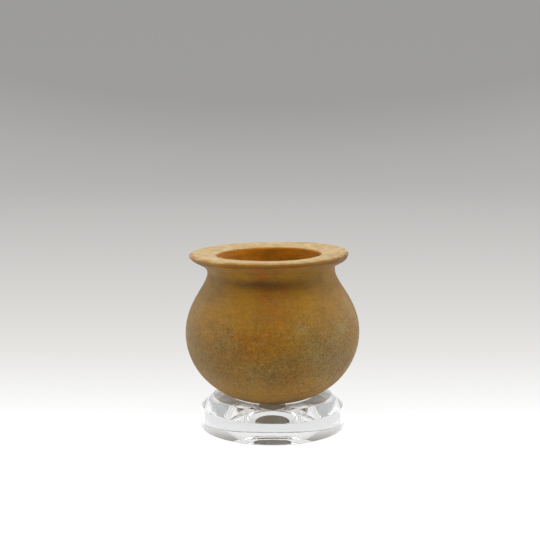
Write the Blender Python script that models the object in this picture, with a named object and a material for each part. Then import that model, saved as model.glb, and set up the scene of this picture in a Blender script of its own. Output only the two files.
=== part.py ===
"""Offering pot of fired clay, with a round belly and a flat flaring lip, in its clear display block.

All sizes are in metres and +Z is up. The origin is the centre of the block's underside.
"""
import math

import bmesh
import bpy
from mathutils import Matrix, Vector
from mathutils.bvhtree import BVHTree

# Display block: a thick disc of clear acrylic with a broad bevel round its top
BLOCK_HEIGHT = 0.0189
BLOCK_RADIUS = 0.0447
BLOCK_DRAFT = 0.0008
BLOCK_FOOT_CHAMFER = 0.0006
BEVEL_WIDTH = 0.0072
BEVEL_DEPTH = 0.0062

# Seat: a bowl cut in the middle of the block's top for the pot's rounded base, with a flat floor
# and a rounded groove turned along the floor's edge, whose shoulders are a share of its depth
SEAT_RADIUS = 0.0253
SEAT_FLOOR_RADIUS = 0.0130
SEAT_DEPTH = 0.0106
GROOVE_WIDTH = 0.0018
GROOVE_DEPTH = 0.0010
GROOVE_SHOULDER = 0.8

# Pad of soft putty between the seat's floor and the pot, put down a little towards the front
PAD_RADIUS = 0.0085
PAD_FORWARD = 0.0025
PAD_GAP = 0.0003

# Pot: its belly, above its own lowest point
BELLY_RADIUS = 0.0536
BELLY_HEIGHT = 0.0435
BELLY_WALL = 0.0058
FLOOR_WALL = 0.0080

# Pot: its neck, above the widest part of the belly
SHOULDER_RISE = 0.0383
NECK_RADIUS = 0.0392
NECK_WALL = 0.0072

# Pot: its flaring lip, beyond and above the neck
LIP_REACH = 0.0095
LIP_RISE = 0.0115
LIP_FALL = 0.0013
LIP_EDGE_THICKNESS = 0.0036
LIP_UNDERSIDE_SLOPE = math.radians(29)
LIP_UNDERSIDE_LENGTH = 0.0051
LIP_DRIFT = 0.0013
MOUTH_ROUNDING = 0.0012

# Fullness of the pot's curves, as lengths along the tangents at their ends
BASE_REACH = 0.0394
LOWER_BELLY_REACH = 0.0184
UPPER_BELLY_REACH = 0.0205
NECK_REACH = 0.0088
FLARE_REACH = 0.0030

# How the pot stands in its seat
SEAT_CLEARANCE = 0.0004
POT_LEAN = math.radians(1.2)

# Facets
ROUND_STEPS = 72
BELLY_POINTS = 12
SHOULDER_POINTS = 8
ARC_POINTS = 4
SEAT_POINTS = 4
SHARP_ANGLE = math.radians(12)

# Sizes that follow from the ones above
NECK_HEIGHT = BELLY_HEIGHT + SHOULDER_RISE
LIP_HEIGHT = NECK_HEIGHT + LIP_RISE
MOUTH_HEIGHT = LIP_HEIGHT - LIP_FALL
LIP_RADIUS = NECK_RADIUS + LIP_REACH
MOUTH_RADIUS = NECK_RADIUS - NECK_WALL
SEAT_FLOOR_HEIGHT = BLOCK_HEIGHT - SEAT_DEPTH


def clear_scene():
    for item in list(bpy.data.objects):
        bpy.data.objects.remove(item)


def material(name, colour, roughness, transmission=0.0):
    made = bpy.data.materials.new(name)
    made.use_nodes = True
    shader = made.node_tree.nodes["Principled BSDF"]
    shader.inputs["Base Color"].default_value = (*colour, 1.0)
    shader.inputs["Roughness"].default_value = roughness
    shader.inputs["Metallic"].default_value = 0.0
    shader.inputs["Transmission Weight"].default_value = transmission
    return made


def bezier(start, leave, arrive, end, points):
    """Points along a curve from start to end, without its start."""
    along = [step / points for step in range(1, points + 1)]
    return [
        start * (1 - t) ** 3 + leave * 3 * t * (1 - t) ** 2 + arrive * 3 * t * t * (1 - t) + end * t ** 3
        for t in along
    ]


def arc(centre, radius, start, end, points):
    """Points round a centre from one angle to another, both ends included."""
    angles = [start + (end - start) * step / points for step in range(points + 1)]
    return [centre + radius * Vector((math.cos(a), math.sin(a))) for a in angles]


def pot_outside():
    """The pot's outer profile, from the middle of its underside up to the lip's nose."""
    belly = Vector((BELLY_RADIUS, BELLY_HEIGHT))
    neck = Vector((NECK_RADIUS, NECK_HEIGHT))
    base = Vector((0.0, 0.0))
    profile = [base]
    profile += bezier(
        base,
        Vector((BASE_REACH, 0.0)),
        belly - Vector((0.0, LOWER_BELLY_REACH)),
        belly,
        BELLY_POINTS,
    )
    profile += bezier(
        belly,
        belly + Vector((0.0, UPPER_BELLY_REACH)),
        neck - Vector((0.0, NECK_REACH)),
        neck,
        SHOULDER_POINTS,
    )
    nose = lip_nose()
    outward = Vector((math.cos(LIP_UNDERSIDE_SLOPE), math.sin(LIP_UNDERSIDE_SLOPE)))
    flare = nose[0] - outward * LIP_UNDERSIDE_LENGTH
    profile += bezier(
        neck,
        neck + Vector((0.0, FLARE_REACH)),
        flare - outward * FLARE_REACH,
        flare,
        ARC_POINTS,
    )
    return profile + nose


def lip_nose():
    """The lip's rounded edge, from the end of its underside to the start of its top face."""
    round_radius = LIP_EDGE_THICKNESS / 2
    centre = Vector((LIP_RADIUS - round_radius, LIP_HEIGHT - round_radius))
    top_slope = math.atan2(LIP_FALL, LIP_RADIUS - MOUTH_RADIUS)
    under = LIP_UNDERSIDE_SLOPE - math.pi / 2
    over = top_slope + math.pi / 2
    return arc(centre, round_radius, under, over, ARC_POINTS)


def pot_inside():
    """The pot's inner profile, from the mouth's rounded edge down to the middle of its floor."""
    edge = Vector((MOUTH_RADIUS + MOUTH_ROUNDING, MOUTH_HEIGHT - MOUTH_ROUNDING))
    throat = Vector((MOUTH_RADIUS, NECK_HEIGHT))
    belly = Vector((BELLY_RADIUS - BELLY_WALL, BELLY_HEIGHT))
    floor = Vector((0.0, FLOOR_WALL))
    shrink = (belly.y - floor.y) / belly.y
    profile = arc(edge, MOUTH_ROUNDING, math.pi / 2, math.pi, ARC_POINTS)
    profile.append(throat)
    profile += bezier(
        throat,
        throat - Vector((0.0, NECK_REACH)),
        belly + Vector((0.0, UPPER_BELLY_REACH)),
        belly,
        SHOULDER_POINTS,
    )
    profile += bezier(
        belly,
        belly - Vector((0.0, LOWER_BELLY_REACH * shrink)),
        floor + Vector((BASE_REACH - BELLY_WALL, 0.0)),
        floor,
        BELLY_POINTS,
    )
    return profile


def block_profile():
    """The block's profile, from the middle of its underside out and up to the middle of its seat."""
    rim = Vector((SEAT_RADIUS, BLOCK_HEIGHT))
    floor = Vector((SEAT_FLOOR_RADIUS, SEAT_FLOOR_HEIGHT))
    centre_height = (rim.length_squared - floor.length_squared) / (2 * SEAT_DEPTH)
    centre = Vector((0.0, centre_height))
    to_rim = rim - centre
    to_floor = floor - centre
    wall = arc(
        centre,
        to_rim.length,
        math.atan2(to_rim.y, to_rim.x),
        math.atan2(to_floor.y, to_floor.x),
        SEAT_POINTS,
    )
    middle_of_groove = Vector((SEAT_FLOOR_RADIUS - GROOVE_WIDTH / 2, floor.y))
    groove = [
        middle_of_groove + Vector((GROOVE_WIDTH / 4, -GROOVE_DEPTH * GROOVE_SHOULDER)),
        middle_of_groove + Vector((0.0, -GROOVE_DEPTH)),
        middle_of_groove + Vector((-GROOVE_WIDTH / 4, -GROOVE_DEPTH * GROOVE_SHOULDER)),
        middle_of_groove + Vector((-GROOVE_WIDTH / 2, 0.0)),
    ]
    wall_top_radius = BLOCK_RADIUS - BLOCK_DRAFT
    outside = [
        Vector((0.0, 0.0)),
        Vector((BLOCK_RADIUS - BLOCK_FOOT_CHAMFER, 0.0)),
        Vector((BLOCK_RADIUS, BLOCK_FOOT_CHAMFER)),
        Vector((wall_top_radius, BLOCK_HEIGHT - BEVEL_DEPTH)),
        Vector((wall_top_radius - BEVEL_WIDTH, BLOCK_HEIGHT)),
    ]
    return outside + wall + groove + [Vector((0.0, floor.y))]


def pad_profile(top):
    """The pad's profile, from just above the seat's floor up to a given height."""
    bottom = SEAT_FLOOR_HEIGHT + PAD_GAP
    return [
        Vector((0.0, bottom)),
        Vector((PAD_RADIUS, bottom)),
        Vector((PAD_RADIUS, top)),
        Vector((0.0, top)),
    ]


def turned(name, profile, finish):
    """A closed solid from a half profile that starts and ends on the axis."""
    shape = bmesh.new()
    corners = [shape.verts.new((point.x, 0.0, point.y)) for point in profile]
    edges = [shape.edges.new(pair) for pair in zip(corners, corners[1:])]
    bmesh.ops.spin(
        shape,
        geom=corners + edges,
        cent=(0, 0, 0),
        axis=(0, 0, 1),
        angle=math.tau,
        steps=ROUND_STEPS,
        use_merge=True,
    )
    bmesh.ops.remove_doubles(shape, verts=shape.verts, dist=1e-6)
    bmesh.ops.recalc_face_normals(shape, faces=shape.faces)
    mesh = bpy.data.meshes.new(name)
    shape.to_mesh(mesh)
    shape.free()
    mesh.shade_smooth()
    mesh.set_sharp_from_angle(angle=SHARP_ANGLE)
    mesh.materials.append(finish)
    made = bpy.data.objects.new(name, mesh)
    bpy.context.scene.collection.objects.link(made)
    return made


def drift_lip(pot):
    """Carry the hand-thrown lip a little to one side of the belly's axis, more towards its top."""
    for corner in pot.data.vertices:
        share = (corner.co.z - NECK_HEIGHT) / (MOUTH_HEIGHT - NECK_HEIGHT)
        corner.co.x -= LIP_DRIFT * min(max(share, 0.0), 1.0)


def solid_tree(item):
    """The faces of an object where they stand, ready to be met by rays."""
    corners = [item.matrix_world @ corner.co for corner in item.data.vertices]
    return BVHTree.FromPolygons(corners, [face.vertices for face in item.data.polygons]), corners


def drops_between(upper, lower):
    """Every straight drop found between two solids, from the corners of each."""
    upper_faces, upper_corners = solid_tree(upper)
    lower_faces, lower_corners = solid_tree(lower)
    up = Vector((0.0, 0.0, 1.0))
    hits = [upper_faces.ray_cast(corner, up) for corner in lower_corners]
    hits += [lower_faces.ray_cast(corner, -up) for corner in upper_corners]
    return [distance for place, normal, face, distance in hits if place]


def stand_in_seat(pot, stand):
    """Lean the pot about the middle of its belly, then lower it to a clearance above the block."""
    middle = Matrix.Translation((0.0, 0.0, BELLY_HEIGHT))
    leaned = middle @ Matrix.Rotation(-POT_LEAN, 4, "Y") @ middle.inverted()
    raised = 2 * BLOCK_HEIGHT
    pot.matrix_world = Matrix.Translation((0.0, 0.0, raised)) @ leaned
    fall = min(drops_between(pot, stand)) - SEAT_CLEARANCE
    pot.matrix_world = Matrix.Translation((0.0, 0.0, raised - fall)) @ leaned


clear_scene()
clay = material("burnished ochre clay", (0.30, 0.16, 0.045), 0.6)
acrylic = material("clear acrylic", (0.95, 0.96, 0.96), 0.03, 1.0)
putty = material("grey brown putty", (0.25, 0.22, 0.17), 0.7)

stand = turned("stand", block_profile(), acrylic)
pot = turned("pot", pot_outside() + pot_inside(), clay)
drift_lip(pot)
stand_in_seat(pot, stand)
pot_base = min((pot.matrix_world @ corner.co).z for corner in pot.data.vertices)
pad = turned("pad", pad_profile(pot_base - PAD_GAP), putty)
pad.matrix_world = Matrix.Translation((0.0, -PAD_FORWARD, 0.0))
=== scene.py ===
import math

import bmesh
import bpy
from mathutils import Matrix, Vector, noise


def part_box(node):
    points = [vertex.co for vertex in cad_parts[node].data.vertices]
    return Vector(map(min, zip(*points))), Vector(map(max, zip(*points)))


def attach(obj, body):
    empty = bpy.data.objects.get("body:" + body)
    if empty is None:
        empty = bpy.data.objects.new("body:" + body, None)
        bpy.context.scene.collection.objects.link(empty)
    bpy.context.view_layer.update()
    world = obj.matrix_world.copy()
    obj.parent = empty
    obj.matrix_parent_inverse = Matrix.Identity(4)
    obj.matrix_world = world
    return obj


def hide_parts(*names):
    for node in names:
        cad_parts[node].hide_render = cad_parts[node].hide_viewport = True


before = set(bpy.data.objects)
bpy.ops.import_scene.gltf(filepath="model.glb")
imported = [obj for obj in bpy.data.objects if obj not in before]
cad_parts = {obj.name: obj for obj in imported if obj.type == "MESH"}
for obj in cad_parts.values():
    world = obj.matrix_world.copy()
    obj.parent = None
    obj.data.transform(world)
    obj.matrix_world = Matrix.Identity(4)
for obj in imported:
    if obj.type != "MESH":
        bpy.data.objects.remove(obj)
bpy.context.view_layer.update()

# Display block
# One thick disc of clear cast acrylic, turned on a lathe and polished, with a broad bevel round its
# top. A shallow bowl is cut in the middle of the top, with a round groove along its flat floor's edge,
# and the pot sits in it.

BLOCK_HEIGHT = 0.0189
BLOCK_RADIUS = 0.0447
WALL_TOP_RADIUS = 0.0439
BEVEL_WIDTH = 0.0072
BEVEL_DEPTH = 0.0062
SEAT_RADIUS = 0.0253
SEAT_FLOOR_RADIUS = 0.0130
SEAT_FLOOR_HEIGHT = 0.0083
GROOVE_WIDTH = 0.0018
GROOVE_DEPTH = 0.0010
GROOVE_STEPS = 20
BOWL_STEPS = 72
RIPPLE_DEPTH = 0.00003
RIPPLES = 9
POLISHED_EDGE = 0.0004
CRISP_ANGLE = math.radians(15)
CLEAR_ACRYLIC = "#FBFCFC"
BUFFED_OVER_MM = 11.1
MM = 1000.0


def linear(hex_colour):
    """A colour written as sRGB hex, as the linear values that a shader takes."""
    channels = [int(hex_colour[place:place + 2], 16) / 255 for place in (1, 3, 5)]
    return (*[c / 12.92 if c <= 0.04045 else ((c + 0.055) / 1.055) ** 2.4 for c in channels], 1.0)


def add_node(finish, kind, settings=None, links=None):
    """Add a node with its settings and links, where a link may name a node for its first output."""
    made = finish.node_tree.nodes.new(kind)
    for name, value in (settings or {}).items():
        if isinstance(name, str) and hasattr(made, name):
            setattr(made, name, value)
        else:
            made.inputs[name].default_value = value
    for name, source in (links or {}).items():
        finish.node_tree.links.new(getattr(source, "outputs", [source])[0], made.inputs[name])
    return made


def new_finish(name, colour, roughness, **plain_values):
    """A finish with its shader's plain values set."""
    finish = bpy.data.materials.new(name)
    finish.use_nodes = True
    shader = finish.node_tree.nodes["Principled BSDF"]
    shader.inputs["Base Color"].default_value = linear(colour)
    shader.inputs["Roughness"].default_value = roughness
    for socket, value in plain_values.items():
        shader.inputs[socket.replace("_", " ")].default_value = value
    return finish, shader


def round_points(centre, start, end, steps):
    """Points on a circle's arc from one point to another, without the first."""
    first, last = (math.atan2(p[1] - centre[1], p[0] - centre[0]) for p in (start, end))
    size = math.dist(centre, start)
    turns = [first + (last - first) * step / steps for step in range(1, steps + 1)]
    return [(centre[0] + size * math.cos(a), centre[1] + size * math.sin(a)) for a in turns]


def turn_on_axis(profile, steps):
    """A shape turned from a half profile that starts on the axis, closed where it ends there too."""
    shape = bmesh.new()
    corners = [shape.verts.new((radius, 0.0, height)) for radius, height in profile]
    outline = [shape.edges.new(pair) for pair in zip(corners, corners[1:])]
    bmesh.ops.spin(
        shape, geom=corners + outline, cent=(0, 0, 0), axis=(0, 0, 1),
        angle=math.tau, steps=steps, use_merge=True,
    )
    bmesh.ops.remove_doubles(shape, verts=shape.verts, dist=1e-6)
    bmesh.ops.recalc_face_normals(shape, faces=shape.faces)
    return shape


def make_piece(name, shape, finish, node, sharp_degrees):
    """Turn a finished shape into a piece that stands for its CAD node."""
    mesh = bpy.data.meshes.new(name)
    shape.to_mesh(mesh)
    shape.free()
    mesh.shade_smooth()
    mesh.set_sharp_from_angle(angle=math.radians(sharp_degrees))
    mesh.materials.append(finish)
    piece = bpy.data.objects.new(name, mesh)
    bpy.context.scene.collection.objects.link(piece)
    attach(piece, "root")
    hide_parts(node)
    return piece


seat_rim = (SEAT_RADIUS, BLOCK_HEIGHT)
seat_corner = (SEAT_FLOOR_RADIUS, SEAT_FLOOR_HEIGHT)
bowl_centre_height = (
    (seat_rim[0] ** 2 + seat_rim[1] ** 2 - seat_corner[0] ** 2 - seat_corner[1] ** 2)
    / (2 * (seat_rim[1] - seat_corner[1]))
)
block_profile = [
    (0.0, 0.0),
    (BLOCK_RADIUS, 0.0),
    (WALL_TOP_RADIUS, BLOCK_HEIGHT - BEVEL_DEPTH),
    (WALL_TOP_RADIUS - BEVEL_WIDTH, BLOCK_HEIGHT),
    seat_rim,
]
bowl_wall = round_points((0.0, bowl_centre_height), seat_rim, seat_corner, BOWL_STEPS)
for step, (radius, height) in enumerate(bowl_wall, start=1):
    ripple = RIPPLE_DEPTH / SEAT_RADIUS * (1 - math.cos(math.tau * RIPPLES * step / BOWL_STEPS))
    block_profile.append((radius * (1 - ripple), height))
block_profile += [
    (
        SEAT_FLOOR_RADIUS - GROOVE_WIDTH / 2 * (1 - math.cos(turn)),
        SEAT_FLOOR_HEIGHT - GROOVE_DEPTH * math.sin(turn),
    )
    for turn in [math.pi * step / GROOVE_STEPS for step in range(1, GROOVE_STEPS + 1)]
]
block_profile.append((0.0, SEAT_FLOOR_HEIGHT))

block_shape = turn_on_axis(block_profile, steps=256)
crisp_edges = [
    edge for edge in block_shape.edges
    if len(edge.link_faces) == 2 and edge.calc_face_angle(0.0) > CRISP_ANGLE
]
bmesh.ops.bevel(
    block_shape, geom=crisp_edges, offset=POLISHED_EDGE, offset_type="OFFSET", affect="EDGES",
    segments=3, profile=0.5, material=-1,
)

# Cast acrylic, polished on a buff: water clear, with a glassy surface that is very faintly wavy, over
# about 11 mm, so that what is seen through it bends a little
acrylic, acrylic_shader = new_finish(
    "cast acrylic, polished", CLEAR_ACRYLIC, 0.0, IOR=1.49, Transmission_Weight=1.0,
)
acrylic_place = add_node(acrylic, "ShaderNodeTexCoord")
buffing = add_node(
    acrylic, "ShaderNodeTexNoise", {"Scale": MM / BUFFED_OVER_MM, "Detail": 3.0, "Roughness": 0.5},
    {"Vector": acrylic_place.outputs["Object"]},
)
buffed = add_node(acrylic, "ShaderNodeBump", {"Strength": 0.5, "Distance": 0.00004}, {"Height": buffing})
acrylic.node_tree.links.new(buffed.outputs["Normal"], acrylic_shader.inputs["Normal"])
make_piece("acrylic_block", block_shape, acrylic, "stand", sharp_degrees=9)


# Putty pad
# A small round pad of grey-brown museum putty, pressed flat by hand between the floor of the block's
# bowl and the pot, and a little waisted. It wets the acrylic, so its underside shows through the block.

PAD_RADIUS = 0.0085
PAD_FORWARD = 0.0025
PAD_PRESS = 0.0001
PAD_TOP = 0.0147
PAD_FLAT_RADIUS = 0.00425
PAD_WAIST = 0.0006
PAD_WAIST_TURNS = (-60, -40, -20, 0, 20, 40, 60)
PUTTY_GREY = "#EFE8DB"
PUTTY_SHADE = "#CDC4B2"
KNEADED_OVER_MM = 2.38

pad_bottom = SEAT_FLOOR_HEIGHT - PAD_PRESS
pad_middle = (pad_bottom + PAD_TOP) / 2
pad_profile = [(0.0, pad_bottom), (PAD_FLAT_RADIUS, pad_bottom), (PAD_RADIUS - PAD_WAIST, pad_bottom)]
pad_profile += [
    (PAD_RADIUS - PAD_WAIST * math.cos(turn), pad_middle + (PAD_TOP - pad_bottom) / 2 * math.sin(turn))
    for turn in [math.radians(degrees) for degrees in PAD_WAIST_TURNS]
]
pad_profile += [(PAD_RADIUS - PAD_WAIST, PAD_TOP), (0.0, PAD_TOP)]
pad_shape = turn_on_axis(pad_profile, steps=96)
bmesh.ops.translate(pad_shape, verts=pad_shape.verts, vec=(0.0, -PAD_FORWARD, 0.0))

# Museum putty pressed by hand: a dull grey-brown wax, mottled over 2 to 3 mm where it was kneaded
putty, putty_shader = new_finish("museum putty, pressed by hand", PUTTY_GREY, 0.75, IOR=1.45)
putty_place = add_node(putty, "ShaderNodeTexCoord")
kneading = add_node(
    putty, "ShaderNodeTexNoise", {"Scale": MM / KNEADED_OVER_MM, "Detail": 5.0, "Roughness": 0.65},
    {"Vector": putty_place.outputs["Object"]},
)
kneaded_share = add_node(
    putty, "ShaderNodeMapRange", {"From Min": 0.35, "From Max": 0.65}, {"Value": kneading},
)
kneaded = add_node(
    putty, "ShaderNodeMix", {"data_type": "RGBA", 6: linear(PUTTY_GREY), 7: linear(PUTTY_SHADE)},
    {0: kneaded_share},
)
putty_bump = add_node(putty, "ShaderNodeBump", {"Strength": 0.6, "Distance": 0.0002}, {"Height": kneading})
putty.node_tree.links.new(kneaded.outputs[2], putty_shader.inputs["Base Color"])
putty.node_tree.links.new(putty_bump.outputs["Normal"], putty_shader.inputs["Normal"])
make_piece("putty_pad", pad_shape, putty, "pad", sharp_degrees=30)


# Pot
# A small offering pot of low-fired clay, thrown on a slow wheel and scraped, with a round base, a
# narrow neck and a flat flaring lip. An ochre slip covers it, rubbed smooth on the shoulder.

BELLY_RADIUS = 0.05357
BELLY_HEIGHT = 0.0435
BELLY_WALL = 0.0058
FLOOR_WALL = 0.0080
NECK_RADIUS = 0.0392
NECK_HEIGHT = 0.0818
MOUTH_RADIUS = 0.0320
MOUTH_ROUNDING = 0.0012
LIP_RADIUS = 0.0487
LIP_HEIGHT = 0.09325
LIP_FALL = 0.0013
LIP_EDGE_RADIUS = 0.0013
LIP_EDGE_SLOPE = math.radians(48)
LIP_EDGE_REACH = 0.0022
LIP_UNDERSIDE_SLOPE = math.radians(29)
LIP_UNDERSIDE_REACH = 0.0020
LIP_DRIFT = 0.0013
FLARE = (0.0434, LIP_HEIGHT - 0.0059)
FLARE_REACH = 0.0030
BASE_REACH = 0.0394
LOWER_BELLY_REACH = 0.0184
UPPER_BELLY_REACH = 0.0205
NECK_REACH = 0.0088
POT_LEAN = math.radians(1.2)


def curve_points(start, leave, arrive, end, steps):
    """Points along a smooth curve, without the first."""
    points = []
    for t in [step / steps for step in range(1, steps + 1)]:
        pulls = ((1 - t) ** 3, 3 * t * (1 - t) ** 2, 3 * t * t * (1 - t), t ** 3)
        weighed = [Vector(p) * pull for p, pull in zip((start, leave, arrive, end), pulls)]
        points.append(tuple(sum(weighed, Vector((0.0, 0.0)))))
    return points


def straight_points(start, end, steps):
    """Points along a straight line, without the first."""
    return [tuple(Vector(start).lerp(Vector(end), step / steps)) for step in range(1, steps + 1)]


lip_nose = (LIP_RADIUS - LIP_EDGE_RADIUS, LIP_HEIGHT - LIP_EDGE_RADIUS)
top_slope = math.atan2(LIP_FALL, LIP_RADIUS - MOUTH_RADIUS)
nose_under = (
    lip_nose[0] + LIP_EDGE_RADIUS * math.sin(LIP_EDGE_SLOPE),
    lip_nose[1] - LIP_EDGE_RADIUS * math.cos(LIP_EDGE_SLOPE),
)
nose_over = (
    lip_nose[0] - LIP_EDGE_RADIUS * math.sin(top_slope),
    lip_nose[1] + LIP_EDGE_RADIUS * math.cos(top_slope),
)
flare_start = (
    FLARE[0] - FLARE_REACH * math.cos(LIP_UNDERSIDE_SLOPE),
    FLARE[1] - FLARE_REACH * math.sin(LIP_UNDERSIDE_SLOPE),
)
flare_end = (
    FLARE[0] + LIP_UNDERSIDE_REACH * math.cos(LIP_UNDERSIDE_SLOPE),
    FLARE[1] + LIP_UNDERSIDE_REACH * math.sin(LIP_UNDERSIDE_SLOPE),
)
edge_start = (
    nose_under[0] - LIP_EDGE_REACH * math.cos(LIP_EDGE_SLOPE),
    nose_under[1] - LIP_EDGE_REACH * math.sin(LIP_EDGE_SLOPE),
)
mouth_height = LIP_HEIGHT - LIP_FALL
mouth_edge = (MOUTH_RADIUS + MOUTH_ROUNDING, mouth_height)
mouth_wall = (MOUTH_RADIUS, mouth_height - MOUTH_ROUNDING)
mouth_centre = (MOUTH_RADIUS + MOUTH_ROUNDING, mouth_height - MOUTH_ROUNDING)
belly, neck, throat = (BELLY_RADIUS, BELLY_HEIGHT), (NECK_RADIUS, NECK_HEIGHT), (MOUTH_RADIUS, NECK_HEIGHT)
inner_radius = BELLY_RADIUS - BELLY_WALL
inner_belly = (inner_radius, BELLY_HEIGHT)
inner_reach = LOWER_BELLY_REACH * (BELLY_HEIGHT - FLOOR_WALL) / BELLY_HEIGHT

pot_profile = [(0.0, 0.0)]
pot_profile += curve_points(
    (0.0, 0.0), (BASE_REACH, 0.0), (BELLY_RADIUS, BELLY_HEIGHT - LOWER_BELLY_REACH), belly, steps=84,
)
pot_profile += curve_points(
    belly, (BELLY_RADIUS, BELLY_HEIGHT + UPPER_BELLY_REACH), (NECK_RADIUS, NECK_HEIGHT - NECK_REACH), neck,
    steps=54,
)
pot_profile += curve_points(neck, (NECK_RADIUS, NECK_HEIGHT + FLARE_REACH), flare_start, FLARE, steps=8)
pot_profile += curve_points(FLARE, flare_end, edge_start, nose_under, steps=16)
pot_profile += round_points(lip_nose, nose_under, nose_over, steps=18)
pot_profile += straight_points(nose_over, mouth_edge, steps=18)
pot_profile += round_points(mouth_centre, mouth_edge, mouth_wall, steps=5)
pot_profile += straight_points(pot_profile[-1], throat, steps=7)
pot_profile += curve_points(
    throat, (MOUTH_RADIUS, NECK_HEIGHT - NECK_REACH), (inner_radius, BELLY_HEIGHT + UPPER_BELLY_REACH),
    inner_belly, steps=28,
)
pot_profile += curve_points(
    inner_belly, (inner_radius, BELLY_HEIGHT - inner_reach), (BASE_REACH - BELLY_WALL, FLOOR_WALL),
    (0.0, FLOOR_WALL), steps=34,
)
pot_shape = turn_on_axis(pot_profile, steps=340)

# The wheel was slow and the lip was turned out by hand, so nothing on the pot is quite round: its
# surface sinks a little here and there, and faint turning ridges run round its shoulder and neck
UNEVENNESS, UNEVEN_SPAN = 0.00035, 0.026
RIDGE_DEPTH, RIDGE_PITCH, RIDGE_LENGTH = 0.00009, 0.0037, 0.06
RIDGES_FROM = (0.050, 0.062)
RIDGES_TO = (NECK_HEIGHT, NECK_HEIGHT + 0.005)
LIP_WAVE, LIP_WAVE_SPAN, LIP_WAVE_START = 0.00035, 0.02, 5.0
BASE_MIDDLE = 0.004

# Under the lip's edge runs a crease, the mouth's edge stands a little high at the front left, and the
# lip's right end droops and has four chips in its top: each chip's turn from the front in degrees,
# distance from the axis and size
CREASE_HEIGHT = LIP_HEIGHT - 0.0025
CREASE_REACH = 0.0004
CREASE_DEPTH = 0.0004
CREASE_SPAN = 0.012
CREASE_EVEN, CREASE_UNEVEN = 0.75, 0.5
CREASE_START = NECK_RADIUS + 0.002
MOUTH_LIFT = 0.0006
MOUTH_LIFT_TURN = math.radians(-28)
MOUTH_LIFT_SPREAD = math.radians(50)
MOUTH_LIFT_REACH = (0.0475, 0.0360)
DROOP = 0.0014
DROOP_TURN = math.radians(72)
DROOP_SPREAD = math.radians(22)
DROOP_REACH = (mouth_height + 0.0002, mouth_height - 0.0014)
LIP_TOP = mouth_height - 0.0002
CHIP_DEPTH = 0.0007
CHIP_SPAN = 0.0030
CHIP_ROUGHNESS = 0.6
CHIPS = ((58, 0.0458, 0.0036), (65, 0.0440, 0.0034), (71, 0.0462, 0.0038), (78, 0.0444, 0.0030))


def smooth_step(low, high, value):
    """0 below low, 1 above high, with a soft change between, or the other way where low is the higher."""
    share = min(max((value - low) / (high - low), 0.0), 1.0)
    return share * share * (3 - 2 * share)


def soft_peak(middle, reach, value):
    """1 at the middle, fading softly to 0 on both sides."""
    return math.exp(-(((value - middle) / reach) ** 2))


def slow_wave(place):
    """A wandering value between 0 and 1 that changes over a length of 1."""
    return 0.5 + 0.5 * noise.noise(place)


def seen_from_above(turn, radius):
    """The x and y of a place by its turn from the front in degrees and its distance from the axis."""
    return radius * math.sin(math.radians(turn)), -radius * math.cos(math.radians(turn))


chips = [(seen_from_above(turn, radius), size) for turn, radius, size in CHIPS]
turned_places = [corner.co.copy() for corner in pot_shape.verts]
for corner, place in zip(pot_shape.verts, turned_places):
    radius = math.hypot(place.x, place.y)
    turn = math.atan2(place.x, -place.y)
    inward = UNEVENNESS * slow_wave(place / UNEVEN_SPAN)
    ridged = smooth_step(*RIDGES_FROM, place.z) * (1 - smooth_step(*RIDGES_TO, place.z))
    along_ridge = Vector((place.x / RIDGE_LENGTH, place.y / RIDGE_LENGTH, place.z / RIDGE_PITCH))
    inward += RIDGE_DEPTH * ridged * slow_wave(along_ridge)
    if radius > CREASE_START:
        crease = CREASE_DEPTH * soft_peak(CREASE_HEIGHT, CREASE_REACH, place.z)
        inward += crease * (CREASE_EVEN + CREASE_UNEVEN * noise.noise(place / CREASE_SPAN))
    if radius > BASE_MIDDLE:
        corner.co.xy *= max(radius - inward, 0.0) / radius

    lip_share = smooth_step(NECK_HEIGHT, mouth_height, place.z)
    lip_wave = slow_wave(Vector((place.x / LIP_WAVE_SPAN, place.y / LIP_WAVE_SPAN, LIP_WAVE_START)))
    mouth_lift = smooth_step(*MOUTH_LIFT_REACH, radius)
    mouth_lift *= soft_peak(MOUTH_LIFT_TURN, MOUTH_LIFT_SPREAD, turn)
    corner.co.x -= LIP_DRIFT * min(max((place.z - NECK_HEIGHT) / (mouth_height - NECK_HEIGHT), 0.0), 1.0)
    corner.co.z += lip_share * (MOUTH_LIFT * mouth_lift - LIP_WAVE * lip_wave)
    if radius > NECK_RADIUS:
        droop = smooth_step(*DROOP_REACH, place.z) * soft_peak(DROOP_TURN, DROOP_SPREAD, turn)
        corner.co.z -= DROOP * lip_share * droop
    if place.z > LIP_TOP:
        for chip, size in chips:
            bite = max(1 - (math.dist(chip, place.xy) / size) ** 2, 0.0)
            corner.co.z -= CHIP_DEPTH * bite * (1 + CHIP_ROUGHNESS * noise.noise(place / CHIP_SPAN))

pot_low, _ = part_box("pot")
middle = Matrix.Translation((0.0, 0.0, BELLY_HEIGHT))
pot_shape.transform(middle @ Matrix.Rotation(-POT_LEAN, 4, "Y") @ middle.inverted())
lowest = min(corner.co.z for corner in pot_shape.verts)
pot_shape.transform(Matrix.Translation((0.0, 0.0, pot_low[2] - lowest)))

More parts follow.
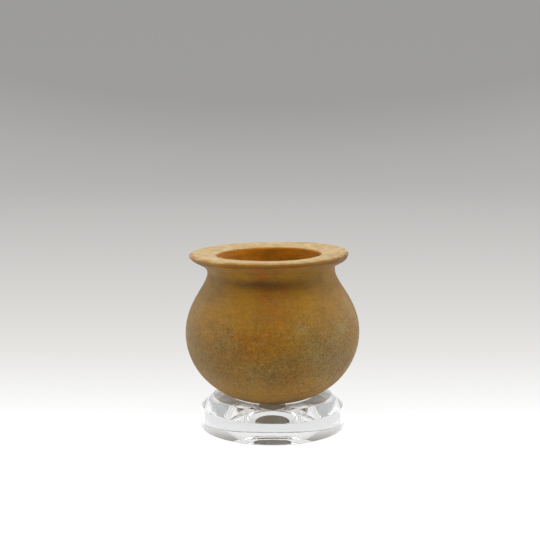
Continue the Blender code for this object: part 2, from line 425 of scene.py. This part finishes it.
# Where the slip is worn through, where it has turned olive or rusty, and where dirt has settled:
# marks by their turn from the front in degrees, distance from the axis and height in mm, reach in mm
# and strength
MARKS = {
    "worn": (
        (-78, 53, 57, 8.0, 0.3), (76, 52, 50, 10.0, 0.4), (140, 53, 55, 9.0, 0.3), (-150, 52, 70, 8.0, 0.3),
        (66, 48, 38, 7.0, 0.3),
    ),
    "olive": (
        (20, 51, 72, 9.0, 0.6), (39, 53, 57, 13.0, 0.7), (60, 51, 44, 14.0, 0.7), (49, 53, 67, 8.0, 0.5),
        (-53, 43, 33, 15.0, 0.6), (-60, 40, 97, 8.0, 0.7), (58, 40, 96, 8.0, 0.35), (-19, 40, 96, 4.0, 0.4),
        (26, 53, 57, 12.0, 0.55), (36, 53, 49, 13.0, 0.6), (50, 52, 61, 12.0, 0.6), (44, 49, 34, 13.0, 0.6),
        (4, 53, 50, 9.0, 0.45), (-14, 51, 44, 9.0, 0.5), (-70, 53, 62, 14.0, 0.8), (66, 49, 78, 14.0, 0.7),
        (-68, 49, 79, 13.0, 0.7), (-62, 51, 47, 12.0, 0.6), (78, 53, 60, 12.0, 0.7),
        (130, 52, 45, 18.0, 0.7), (-160, 53, 60, 18.0, 0.6), (175, 41, 92, 10.0, 0.5),
        (-105, 50, 75, 14.0, 0.5),
    ),
    "rust": (
        (-12, 40, 99, 8.0, 0.7), (-28, 49, 105, 6.0, 1.0), (-52, 50, 105, 6.0, 1.0),
        (-70, 50, 106, 7.0, 1.0), (-88, 50, 106, 6.0, 0.8), (-10, 47, 104, 7.0, 0.9),
        (8, 47, 104, 6.0, 0.7), (24, 48, 106.5, 4.0, 0.7), (38, 48, 106.5, 4.0, 0.7),
        (50, 48, 106.5, 5.0, 0.9), (66, 49, 107, 5.0, 1.0), (78, 49, 107, 5.0, 0.9),
        (-8, 53, 64, 9.0, 0.5), (-16, 53, 58, 8.0, 0.4), (0, 48, 80, 12.0, 0.6), (-6, 41, 89.5, 6.0, 0.9),
        (8, 41, 89.5, 5.0, 0.7), (-22, 53, 66, 7.0, 0.4), (10, 50, 43, 5.0, 0.5), (150, 44, 100, 14.0, 0.7),
        (-140, 51, 45, 12.0, 0.5), (100, 51, 70, 12.0, 0.5),
    ),
    "grime": (
        (56, 46.5, 108.4, 3.0, 0.7), (64, 44, 108.5, 3.4, 0.7), (70, 46.5, 108.3, 3.4, 0.9),
        (78, 46, 108.8, 2.6, 0.6), (76, 49, 105.5, 3.4, 0.6), (60, 39, 108.5, 2.6, 0.4),
        (47, 39, 96, 3.0, 0.3), (-58, 50, 105.5, 1.6, 0.5), (-50, 50, 104.6, 1.8, 0.5),
        (5, 53, 53.6, 1.1, 0.5), (10.5, 53, 51.7, 1.1, 0.5), (29, 52, 50, 1.3, 0.5),
        (6, 44, 33, 1.0, 0.5), (53, 42, 88.7, 1.0, 0.6), (23, 50, 75.5, 0.9, 0.6), (-59, 53, 55, 1.3, 0.5),
        (-120, 49, 107, 3.0, 0.4),
    ),
}
MARK_FADE = 1.6

# Painted shade: a dark band is painted in the hollow where the neck turns out into the shoulder,
# strongest just left of the front, for the shadow that the lip casts there, and the crease under the
# lip's edge is painted dark as shade too, broadest at the left end. The lip's underside is rusty near
# the front, and its top and edge are bare, with a ragged border
NECK_SHADE_HEIGHT, NECK_SHADE_REACH = 0.0941, 0.0026
NECK_SHADE_WANDER, NECK_SHADE_WANDER_SPAN = 0.0006, 0.012
NECK_SHADE_TURN, NECK_SHADE_SPREAD = -8, 38
LIP_SHADE_HEIGHT, LIP_SHADE_REACH = LIP_HEIGHT - 0.0026, 0.0006
LEFT_SHADE_TURN, LEFT_SHADE_SPREAD, LEFT_SHADE = -72, 22, 1.1
LEFT_SHADE_FROM = (LIP_HEIGHT - 0.0052, LIP_HEIGHT - 0.0040)
LEFT_SHADE_TO = (LIP_HEIGHT - 0.0020, LIP_HEIGHT - 0.0028)
RUST_BAND_FROM = (LIP_HEIGHT - 0.0080, LIP_HEIGHT - 0.0060)
RUST_BAND_TO = (LIP_HEIGHT - 0.0022, LIP_HEIGHT - 0.0032)
RUST_BAND_SPREAD = (8, 30)
RUST_BAND, RUST_BAND_FALL = 0.55, 0.50
RUSTY_EDGE = LIP_RADIUS - 0.0022
BARE_EDGE = (LIP_HEIGHT - 0.0013, LIP_HEIGHT - 0.0004)
BARE_EDGE_WANDER, BARE_EDGE_SPAN = 0.0003, 0.005
BARE_TOP = (mouth_height - 0.0006, mouth_height - 0.0001)
SHADE_EVEN, SHADE_UNEVEN, SHADE_SPAN = 0.75, 0.30, 0.009
RUST_OVER_BARE = 0.75
RAGGEDNESS, RAGGED_SPAN = 0.9, 0.006
BROAD_OLIVE, BROAD_RUST = 0.25, 0.2
BROAD_SPAN, BROAD_START = 0.021, Vector((7.0, 0.0, 0.0))
FACING_UP, FACING_AXIS = 0.5, 0.3

mark_places = {
    kind: [
        (Vector((*seen_from_above(turn, radius), height)), reach, strength)
        for turn, radius, height, reach, strength in rows
    ]
    for kind, rows in MARKS.items()
}


def marks_at(kind, place):
    """How strongly the marks of one kind show at a place on the pot, 0 to 1."""
    shown = 0.0
    for middle_of_mark, reach, strength in mark_places[kind]:
        away = (place * MM - middle_of_mark).length / reach
        shown += strength * math.exp(-MARK_FADE * away * away)
    return min(shown, 1.0)


pot_shape.normal_update()
surface_marks = {"worn": [], "olive": [], "rust": [], "grime": [], "inside": [], "painted_shade": []}
for corner, own_place in zip(pot_shape.verts, turned_places):
    place = corner.co
    radius = math.hypot(own_place.x, own_place.y)
    turn = math.degrees(math.atan2(place.x, -place.y))
    outward = Vector((own_place.x, own_place.y, 0.0)).normalized()
    on_floor = corner.normal.z > FACING_UP and own_place.z < BELLY_HEIGHT
    inside = float(on_floor or corner.normal.dot(outward) < -FACING_AXIS)

    # Painted shade: a band for the lip's shadow on the neck's hollow, and shade in the crease under the
    # lip's edge, darkest at the left end
    from_neck_shade = abs(turn - NECK_SHADE_TURN)
    neck_shade_height = NECK_SHADE_HEIGHT + NECK_SHADE_WANDER * noise.noise(place / NECK_SHADE_WANDER_SPAN)
    neck_shade = soft_peak(neck_shade_height, NECK_SHADE_REACH, place.z)
    neck_shade *= soft_peak(0.0, NECK_SHADE_SPREAD, min(from_neck_shade, 360 - from_neck_shade))
    left_shade = LEFT_SHADE * soft_peak(LEFT_SHADE_TURN, LEFT_SHADE_SPREAD, turn)
    left_shade *= smooth_step(*LEFT_SHADE_FROM, own_place.z) * smooth_step(*LEFT_SHADE_TO, own_place.z)
    under_lip = max(soft_peak(LIP_SHADE_HEIGHT, LIP_SHADE_REACH, own_place.z), left_shade)
    under_lip *= SHADE_EVEN + SHADE_UNEVEN * noise.noise(place / SHADE_SPAN)

    rusty = marks_at("rust", place)
    if radius > NECK_RADIUS:
        band = smooth_step(*RUST_BAND_FROM, own_place.z) * smooth_step(*RUST_BAND_TO, own_place.z)
        rusty = max(rusty, band * (RUST_BAND - RUST_BAND_FALL * smooth_step(*RUST_BAND_SPREAD, from_neck_shade)))
    if radius < lip_nose[0]:
        bare = smooth_step(*BARE_TOP, own_place.z)
    else:
        wander = BARE_EDGE_WANDER * noise.noise(place / BARE_EDGE_SPAN)
        bare = smooth_step(*BARE_EDGE, own_place.z + wander)
    if radius > RUSTY_EDGE:
        bare *= 1 - min(rusty, RUST_OVER_BARE)

    broad = noise.noise(place / BROAD_SPAN + BROAD_START)
    ragged = 1 + RAGGEDNESS * noise.noise(place / RAGGED_SPAN)
    olive = marks_at("olive", place) * ragged + BROAD_OLIVE * broad
    surface_marks["worn"].append(max(bare, min(marks_at("worn", place) * ragged, 1.0)))
    surface_marks["olive"].append(min(max(olive, 0.0), 1.0))
    surface_marks["rust"].append(min(max(rusty * ragged - BROAD_RUST * broad, 0.0), 1.0))
    surface_marks["grime"].append(min(marks_at("grime", place) * ragged, 1.0))
    surface_marks["inside"].append(inside * (1 - bare))
    surface_marks["painted_shade"].append(max(neck_shade, under_lip) * (1 - inside))

# Fired clay under an ochre slip that was rubbed smooth: a warm golden brown that changes over a few
# centimetres, with a soft shine on the shoulder, a sandy dull belly, pale grits, dark pits, and bare
# buff clay on the lip, set paler to carry a painted highlight, and a dark brown for painted shade
SLIP_GOLD, SLIP_BROWN, SLIP_OLIVE, SLIP_RUST = "#926718", "#825E20", "#8A7544", "#8F5004"
UNSLIPPED, THIN_SLIP, BARE_CLAY_AND_HIGHLIGHT, BARE_TAN = "#B5710B", "#A08857", "#BBA274", "#A2834E"
PAINTED_SHADE_BROWN, GRIT, OLD_DIRT, WHOLE_POT = "#432810", "#A98F5E", "#33200F", "#8C6021"
clay, clay_shader = new_finish(
    "low-fired clay under ochre slip, rubbed smooth", WHOLE_POT, 0.62, IOR=1.5,
    Specular_IOR_Level=0.2, Sheen_Weight=0.16, Sheen_Roughness=0.4,
)
clay_pot = make_piece("clay_pot", pot_shape, clay, "pot", sharp_degrees=60)
for kind, shown in surface_marks.items():
    clay_pot.data.attributes.new(kind, "FLOAT", "POINT").data.foreach_set("value", shown)

clay_place = add_node(clay, "ShaderNodeTexCoord")
in_mm = add_node(
    clay, "ShaderNodeVectorMath", {"operation": "SCALE", "Scale": MM}, {0: clay_place.outputs["Object"]},
)
marks = {
    kind: add_node(clay, "ShaderNodeAttribute", {"attribute_name": kind}).outputs["Fac"]
    for kind in surface_marks
}

# The clay's patterns: the size of their marks in mm, their pitch round the pot against that up it, where
# less than 1 draws them out along the wheel, their detail and its strength, where they start, the
# values between which they run, and what they give at these two. Real sand of about 0.3 mm is too
# fine to show, so the grain is drawn at 1.1 mm
CLAY_PATTERNS = {
    "broad": (24.0, 1.0, 3, 0.55, 0.0, (0.35, 0.65), (0.0, 1.0)),
    "olive": (3.2, 1.0, 6, 0.75, 3.0, (0.40, 0.60), (0.3, 1.0)),
    "rust": (3.4, 1.0, 5, 0.65, 9.0, (0.36, 0.62), (0.3, 1.0)),
    "inside streaks": (2.2, 0.12, 5, 0.7, 51.0, (0.35, 0.65), (0.72, 1.22)),
    "streaks": (1.5, 0.10, 4, 0.6, 5.0, (0.3, 0.7), (-1.0, 1.0)),
    "grain": (1.1, 1.0, 4, 0.8, 1.0, (0.36, 0.64), (-1.0, 1.0)),
    "blotches": (6.0, 1.0, 4, 0.6, 13.0, (0.3, 0.7), (-1.0, 1.0)),
    "thin slip": (2.0, 1.0, 6, 0.8, 41.0, (0.48, 0.68), (0.0, 1.0)),
    "flecks": (1.2, 1.0, 4, 0.75, 61.0, (0.56, 0.66), (0.0, 1.0)),
    "worn": (3.0, 1.0, 5, 0.65, 21.0, (0.28, 0.42), (0.55, 1.0)),
    "bare tan": (5.0, 1.0, 6, 0.7, 17.0, (0.38, 0.62), (0.0, 1.0)),
    "grime": (1.8, 1.0, 4, 0.7, 27.0, (0.34, 0.60), (0.35, 1.0)),
    "fine sand": (0.5, 1.0, 2, 0.6, 33.0, (0.0, 1.0), (0.0, 1.0)),
}
patterns = {}
for name, (size, wheel_pitch, detail, detail_strength, start, seen, gives) in CLAY_PATTERNS.items():
    placed = add_node(
        clay, "ShaderNodeMapping",
        {"Location": (start, start, start), "Scale": (wheel_pitch / size, wheel_pitch / size, 1 / size)},
        {"Vector": in_mm},
    )
    cloud = add_node(
        clay, "ShaderNodeTexNoise", {"Scale": 1.0, "Detail": detail, "Roughness": detail_strength},
        {"Vector": placed},
    )
    patterns[name] = add_node(
        clay, "ShaderNodeMapRange",
        {"From Min": seen[0], "From Max": seen[1], "To Min": gives[0], "To Max": gives[1]},
        {"Value": cloud},
    )

# What changes with the height on the pot in mm, or with the distance to its left or right: from and to
# where, and how much there is at these two. The shoulder is smooth and streaked, the belly sandy
POT_CHANGES = {
    "grain": ("Z", (56, 80), (0.38, 0.14)),
    "streaks": ("Z", (62, 84), (0.06, 0.12)),
    # painted light: the base is painted up to 1.72 times brighter, standing for light thrown up from below
    "painted light at base": ("Z", (18, 42), (1.72, 1.0)),
    "light on belly": ("Z", (50, 66), (0.90, 1.0)),
    "richness at base": ("Z", (20, 34), (1.16, 1.0)),
    "richness on belly": ("Z", (50, 80), (0.97, 1.0)),
    "richness in front": ("X", (18, 38), (1.04, 1.0)),
    "thin slip": ("Z", (40, 90), (0.55, 0.2)),
    "below lip": ("Z", (99, 102), (1.0, 0.0)),
    "sandy": ("Z", (60, 86), (1.0, 0.25)),
    "dullness": ("Z", (60, 84), (0.74, 0.58)),
    "grain relief": ("Z", (60, 84), (0.10, 0.022)),
}
whole_place = add_node(clay, "ShaderNodeVectorMath", {"operation": "ABSOLUTE"}, {0: in_mm})
pot_axes = add_node(clay, "ShaderNodeSeparateXYZ", {}, {"Vector": whole_place})
changes = {
    name: add_node(
        clay, "ShaderNodeMapRange",
        {"From Min": ends[0], "From Max": ends[1], "To Min": gives[0], "To Max": gives[1]},
        {"Value": pot_axes.outputs[axis]},
    )
    for name, (axis, ends, gives) in POT_CHANGES.items()
}

# Slip: gold and brown broadly mixed, stained olive and rusty in ragged patches, and unslipped inside
slip = add_node(
    clay, "ShaderNodeMix", {"data_type": "RGBA", 6: linear(SLIP_GOLD), 7: linear(SLIP_BROWN)},
    {0: patterns["broad"]},
)
for kind, stain in (("olive", SLIP_OLIVE), ("rust", SLIP_RUST)):
    stained = add_node(
        clay, "ShaderNodeMath", {"operation": "MULTIPLY"}, {0: marks[kind], 1: patterns[kind]},
    )
    slip = add_node(
        clay, "ShaderNodeMix", {"data_type": "RGBA", 7: linear(stain)}, {0: stained, 6: slip.outputs[2]},
    )
unslipped = add_node(
    clay, "ShaderNodeHueSaturation", {"Color": linear(UNSLIPPED)}, {"Value": patterns["inside streaks"]},
)
wall = add_node(
    clay, "ShaderNodeMix", {"data_type": "RGBA"}, {0: marks["inside"], 6: slip.outputs[2], 7: unslipped},
)

# Light and dark in it: blotches, wheel streaks and grain, a darker lower belly, and a richer base that is
# painted paler, as painted light standing for light thrown up from below
BLOTCH_STRENGTH = 0.10
brightness = add_node(
    clay, "ShaderNodeMath", {"operation": "MULTIPLY_ADD", 1: BLOTCH_STRENGTH, 2: 1.0},
    {0: patterns["blotches"]},
)
for kind in ("streaks", "grain"):
    brightness = add_node(
        clay, "ShaderNodeMath", {"operation": "MULTIPLY_ADD"},
        {0: patterns[kind], 1: changes[kind], 2: brightness},
    )
for change in ("painted light at base", "light on belly"):
    brightness = add_node(
        clay, "ShaderNodeMath", {"operation": "MULTIPLY"}, {0: brightness, 1: changes[change]},
    )
richness = changes["richness in front"]
for change in ("richness on belly", "richness at base"):
    richness = add_node(
        clay, "ShaderNodeMath", {"operation": "MULTIPLY"}, {0: richness, 1: changes[change]},
    )
shaded_wall = add_node(
    clay, "ShaderNodeHueSaturation", {},
    {"Color": wall.outputs[2], "Value": brightness, "Saturation": richness},
)

# Thin places in the slip, small and ragged, let the paler clay through, most of all low on the belly,
# and painted shade darkens the neck's hollow, for the lip's shadow there, and the crease under the lip
PAINTED_SHADE_STRENGTH = 0.68
thin_places = patterns["thin slip"]
for change in ("thin slip", "below lip"):
    thin_places = add_node(
        clay, "ShaderNodeMath", {"operation": "MULTIPLY"}, {0: thin_places, 1: changes[change]},
    )
thinned = add_node(
    clay, "ShaderNodeMix", {"data_type": "RGBA", 7: linear(THIN_SLIP)}, {0: thin_places, 6: shaded_wall},
)
painted_shade_share = add_node(
    clay, "ShaderNodeMath", {"operation": "MULTIPLY", 1: PAINTED_SHADE_STRENGTH}, {0: marks["painted_shade"]},
)
painted_shade = add_node(
    clay, "ShaderNodeMix", {"data_type": "RGBA", 7: linear(PAINTED_SHADE_BROWN)}, {0: painted_shade_share, 6: thinned.outputs[2]},
)

# Pale grits and dark pits, each in a few of the cells of a loose net: the cells' size in mm, where the
# net starts, how near a cell's middle its speck begins and is full, and the lots that draw a speck
LOOSE_NETS = {
    "grits": (1.9, (0.0, 0.0, 0.0), (0.24, 0.12), (0.55, 0.75)),
    "pits": (2.7, (31.0, 17.0, 5.0), (0.27, 0.10), (0.70, 1.0)),
}
specks = {}
for name, (cell, start, core, picked) in LOOSE_NETS.items():
    placed = add_node(clay, "ShaderNodeMapping", {"Location": start}, {"Vector": in_mm})
    net = add_node(clay, "ShaderNodeTexVoronoi", {"Scale": 1 / cell}, {"Vector": placed})
    in_core = add_node(
        clay, "ShaderNodeMapRange", {"From Min": core[0], "From Max": core[1]}, {"Value": net},
    )
    lot = add_node(clay, "ShaderNodeSeparateColor", {}, {"Color": net.outputs["Color"]})
    drawn = add_node(
        clay, "ShaderNodeMapRange", {"From Min": picked[0], "From Max": picked[1]}, {"Value": lot},
    )
    specks[name] = add_node(clay, "ShaderNodeMath", {"operation": "MULTIPLY"}, {0: in_core, 1: drawn})
specks["flecks"] = patterns["flecks"]
for name, speck in specks.items():
    specks[name] = add_node(
        clay, "ShaderNodeMath", {"operation": "MULTIPLY"}, {0: speck, 1: changes["sandy"]},
    )

GRIT_STRENGTH = 0.6
grit_share = add_node(
    clay, "ShaderNodeMath", {"operation": "MULTIPLY", 1: GRIT_STRENGTH}, {0: specks["grits"]},
)
gritty = add_node(
    clay, "ShaderNodeMix", {"data_type": "RGBA", 7: linear(GRIT)}, {0: grit_share, 6: painted_shade.outputs[2]},
)

# Bare clay on the lip, where hands and time took the slip off, with dirt rubbed into it. Its buff is set
# paler than the bare clay alone, as a painted highlight along the lip's top and front edge
BARE_GRAIN = 0.10
worn_share = add_node(
    clay, "ShaderNodeMath", {"operation": "MULTIPLY"}, {0: marks["worn"], 1: patterns["worn"]},
)
bare = add_node(
    clay, "ShaderNodeMix", {"data_type": "RGBA", 6: linear(BARE_CLAY_AND_HIGHLIGHT), 7: linear(BARE_TAN)},
    {0: patterns["bare tan"]},
)
bare_light = add_node(
    clay, "ShaderNodeMath", {"operation": "MULTIPLY_ADD", 1: BARE_GRAIN, 2: 1.0}, {0: patterns["grain"]},
)
bare_clay = add_node(clay, "ShaderNodeHueSaturation", {}, {"Color": bare.outputs[2], "Value": bare_light})
worn = add_node(
    clay, "ShaderNodeMix", {"data_type": "RGBA"}, {0: worn_share, 6: gritty.outputs[2], 7: bare_clay},
)

# Old dirt lies in the pits, in specks all over, and in the chips and hollows of the lip
PIT_DIRT, FLECK_DIRT, GRIME_DIRT = 0.7, 0.42, 0.85
specks["grime"] = add_node(
    clay, "ShaderNodeMath", {"operation": "MULTIPLY"}, {0: marks["grime"], 1: patterns["grime"]},
)
dirt = add_node(clay, "ShaderNodeMath", {"operation": "MULTIPLY", 1: PIT_DIRT}, {0: specks["pits"]})
for kind, strength in (("flecks", FLECK_DIRT), ("grime", GRIME_DIRT)):
    layer = add_node(clay, "ShaderNodeMath", {"operation": "MULTIPLY", 1: strength}, {0: specks[kind]})
    dirt = add_node(clay, "ShaderNodeMath", {"operation": "MAXIMUM"}, {0: dirt, 1: layer})
dirty = add_node(
    clay, "ShaderNodeMix", {"data_type": "RGBA", 7: linear(OLD_DIRT)}, {0: dirt, 6: worn.outputs[2]},
)
clay.node_tree.links.new(dirty.outputs[2], clay_shader.inputs["Base Color"])

# The rubbed shoulder has a soft shine, the sandy belly and the bare clay have none
GRAIN_DULLNESS, BARE_DULLNESS = 0.06, 0.12
dullness = changes["dullness"]
for source, strength in ((patterns["grain"], GRAIN_DULLNESS), (worn_share, BARE_DULLNESS)):
    dullness = add_node(
        clay, "ShaderNodeMath", {"operation": "MULTIPLY_ADD", 1: strength}, {0: source, 2: dullness},
    )
clay.node_tree.links.new(dullness.outputs["Value"], clay_shader.inputs["Roughness"])

# Relief in mm: sandy grain, wheel marks, fine sand, standing grits, sunk pits and worn hollows
RELIEF_MM = (
    (patterns["streaks"], 0.012), (patterns["fine sand"], 0.05), (specks["grits"], 0.05),
    (specks["pits"], -0.14), (specks["grime"], -0.08),
)
relief = add_node(
    clay, "ShaderNodeMath", {"operation": "MULTIPLY"}, {0: patterns["grain"], 1: changes["grain relief"]},
)
for source, rise in RELIEF_MM:
    relief = add_node(
        clay, "ShaderNodeMath", {"operation": "MULTIPLY_ADD", 1: rise}, {0: source, 2: relief},
    )
bump = add_node(clay, "ShaderNodeBump", {"Strength": 1.0, "Distance": 1 / MM}, {"Height": relief})
clay.node_tree.links.new(bump.outputs["Normal"], clay_shader.inputs["Normal"])


# Studio
# A white table that sweeps up into a graded grey backdrop all round, soft light from above and from
# both sides, and a long lens that looks down a little.

FLOOR_DROP = 0.0002
TABLE_RADIUS = 1.5
SWEEP_RADIUS = 1.2
BACKDROP_TOP = 4.0

sweep = [(0.0, 0.0), (TABLE_RADIUS, 0.0)]
sweep += round_points(
    (TABLE_RADIUS, SWEEP_RADIUS), (TABLE_RADIUS, 0.0), (TABLE_RADIUS + SWEEP_RADIUS, SWEEP_RADIUS), steps=24,
)
sweep.append((TABLE_RADIUS + SWEEP_RADIUS, BACKDROP_TOP))
backdrop_shape = turn_on_axis(sweep, steps=96)
bmesh.ops.translate(backdrop_shape, verts=backdrop_shape.verts, vec=(0.0, 0.0, -FLOOR_DROP))
backdrop_mesh = bpy.data.meshes.new("table_and_backdrop")
backdrop_shape.to_mesh(backdrop_mesh)
backdrop_shape.free()
backdrop_mesh.shade_smooth()
backdrop = bpy.data.objects.new("table_and_backdrop", backdrop_mesh)
bpy.context.scene.collection.objects.link(backdrop)

# Backdrop paper lit from behind, so it keeps its own greys: white under the pot, graded to grey far
# behind it, white again above the camera's view, and a darker room behind the camera. Where the block
# stands a brown shadow is painted, standing for the shade that the pot and block cast on the table.
# Its greys are distances behind the pot in metres with a brightness each
BACKDROP_GREYS = (
    (0.00, 0.985), (0.03, 0.905), (0.06, 0.860), (0.10, 0.805), (0.15, 0.748), (0.20, 0.706),
    (0.30, 0.650), (0.40, 0.608), (0.55, 0.563), (0.75, 0.520), (1.00, 0.482), (1.50, 0.435),
    (1.91, 0.370), (2.16, 0.296),
)
BACKDROP_DEPTH = 2.5
WARM_FROM, WARM_GREEN, WARM_BLUE = 0.2, 0.013, 0.04
GREY_TOP = (0.52, 0.85)
TENT_WHITE = (0.8, 0.8, 0.8, 1.0)
DARK_ROOM = (-0.9, -1.5)
ROOM_GREY = (0.45, 0.45, 0.45, 1.0)
# Painted shadow: the brown shade painted on the table under the block, and how far out from the middle it
# fades
PAINTED_SHADOW_UNDER_BLOCK = "#625544"
PAINTED_SHADOW_REACH = (0.0375, 0.0447)
paper, paper_shader = new_finish("graded backdrop paper, matt", "#303030", 0.9, Emission_Strength=1.0)
backdrop_mesh.materials.append(paper)
paper_place = add_node(paper, "ShaderNodeTexCoord")
paper_axes = add_node(paper, "ShaderNodeSeparateXYZ", {}, {"Vector": paper_place.outputs["Object"]})
depth = add_node(
    paper, "ShaderNodeMapRange", {"From Min": 0.0, "From Max": BACKDROP_DEPTH},
    {"Value": paper_axes.outputs["Y"]},
)
greys = add_node(paper, "ShaderNodeValToRGB", {}, {"Fac": depth})
for stop, (distance, grey) in enumerate(BACKDROP_GREYS):
    if stop < 2:
        band = greys.color_ramp.elements[stop]
    else:
        band = greys.color_ramp.elements.new(1.0)
    band.position = distance / BACKDROP_DEPTH
    warmth = min(distance / WARM_FROM, 1.0)
    band.color = (grey, grey * (1 - WARM_GREEN * warmth), grey * (1 - WARM_BLUE * warmth), 1.0)
above = add_node(
    paper, "ShaderNodeMapRange", {"From Min": GREY_TOP[0], "From Max": GREY_TOP[1]},
    {"Value": paper_axes.outputs["Z"]},
)
tent = add_node(paper, "ShaderNodeMix", {"data_type": "RGBA", 7: TENT_WHITE}, {0: above, 6: greys})
behind_camera = add_node(
    paper, "ShaderNodeMapRange", {"From Min": DARK_ROOM[0], "From Max": DARK_ROOM[1]},
    {"Value": paper_axes.outputs["Y"]},
)
room = add_node(
    paper, "ShaderNodeMix", {"data_type": "RGBA", 7: ROOM_GREY}, {0: behind_camera, 6: tent.outputs[2]},
)
# Painted shadow: the table under the block is mixed to a brown shade, fading out at the block's edge
from_middle = add_node(
    paper, "ShaderNodeVectorMath", {"operation": "LENGTH"}, {0: paper_place.outputs["Object"]},
)
clear_of_block = add_node(
    paper, "ShaderNodeMapRange", {"From Min": PAINTED_SHADOW_REACH[0], "From Max": PAINTED_SHADOW_REACH[1]},
    {"Value": from_middle.outputs["Value"]},
)
seen_grey = add_node(
    paper, "ShaderNodeMix", {"data_type": "RGBA", 6: linear(PAINTED_SHADOW_UNDER_BLOCK)},
    {0: clear_of_block, 7: room.outputs[2]},
)
paper.node_tree.links.new(seen_grey.outputs[2], paper_shader.inputs["Emission Color"])

SURROUND_STRENGTH = 0.8
world = bpy.data.worlds.new("soft white surround")
bpy.context.scene.world = world
world.use_nodes = True
surround = world.node_tree.nodes["Background"]
surround.inputs["Color"].default_value = (1.0, 1.0, 1.0, 1.0)
surround.inputs["Strength"].default_value = SURROUND_STRENGTH

# Soft boxes: place, width and height in metres, and power in watts, all turned to the pot's middle
SOFT_BOXES = {
    "overhead": ((0.0, -0.2, 1.2), (0.8, 0.8), 9.0),
    "left": ((-1.1, 0.2, 0.5), (0.6, 0.9), 3.0),
    "right": ((1.1, 0.2, 0.5), (0.6, 0.9), 3.0),
}
LIT_POINT = Vector((0.0, 0.0, 0.05))
for light_name, (light_place, light_size, power) in SOFT_BOXES.items():
    light = bpy.data.lights.new(light_name, "AREA")
    light.shape = "RECTANGLE"
    light.size, light.size_y = light_size
    light.energy = power
    soft_box = bpy.data.objects.new(light_name, light)
    bpy.context.scene.collection.objects.link(soft_box)
    soft_box.location = light_place
    soft_box.rotation_euler = (LIT_POINT - Vector(light_place)).to_track_quat("-Z", "Y").to_euler()

# The camera stands 0.64 m back and 0.2 m up, which is how the block's and the mouth's ovals open
CAMERA_PLACE = (-0.00151, -0.64275, 0.1979)
CAMERA_LOOKS_DOWN = 8.93
LENS_MM = 70.83
SENSOR_MM = 36.0
camera_lens = bpy.data.cameras.new("long lens")
camera_lens.sensor_width = SENSOR_MM
camera_lens.lens = LENS_MM
camera_lens.clip_start = 0.01
camera = bpy.data.objects.new("camera", camera_lens)
bpy.context.scene.collection.objects.link(camera)
camera.location = CAMERA_PLACE
camera.rotation_euler = (math.radians(90 - CAMERA_LOOKS_DOWN), 0.0, 0.0)
bpy.context.scene.camera = camera

# Light is turned back many times inside the block before it leaves it
LIGHT_BOUNCES = 64
bpy.context.scene.view_settings.view_transform = "Standard"
bpy.context.scene.cycles.use_denoising = True
bpy.context.scene.cycles.max_bounces = LIGHT_BOUNCES
bpy.context.scene.cycles.glossy_bounces = LIGHT_BOUNCES
bpy.context.scene.cycles.transmission_bounces = LIGHT_BOUNCES
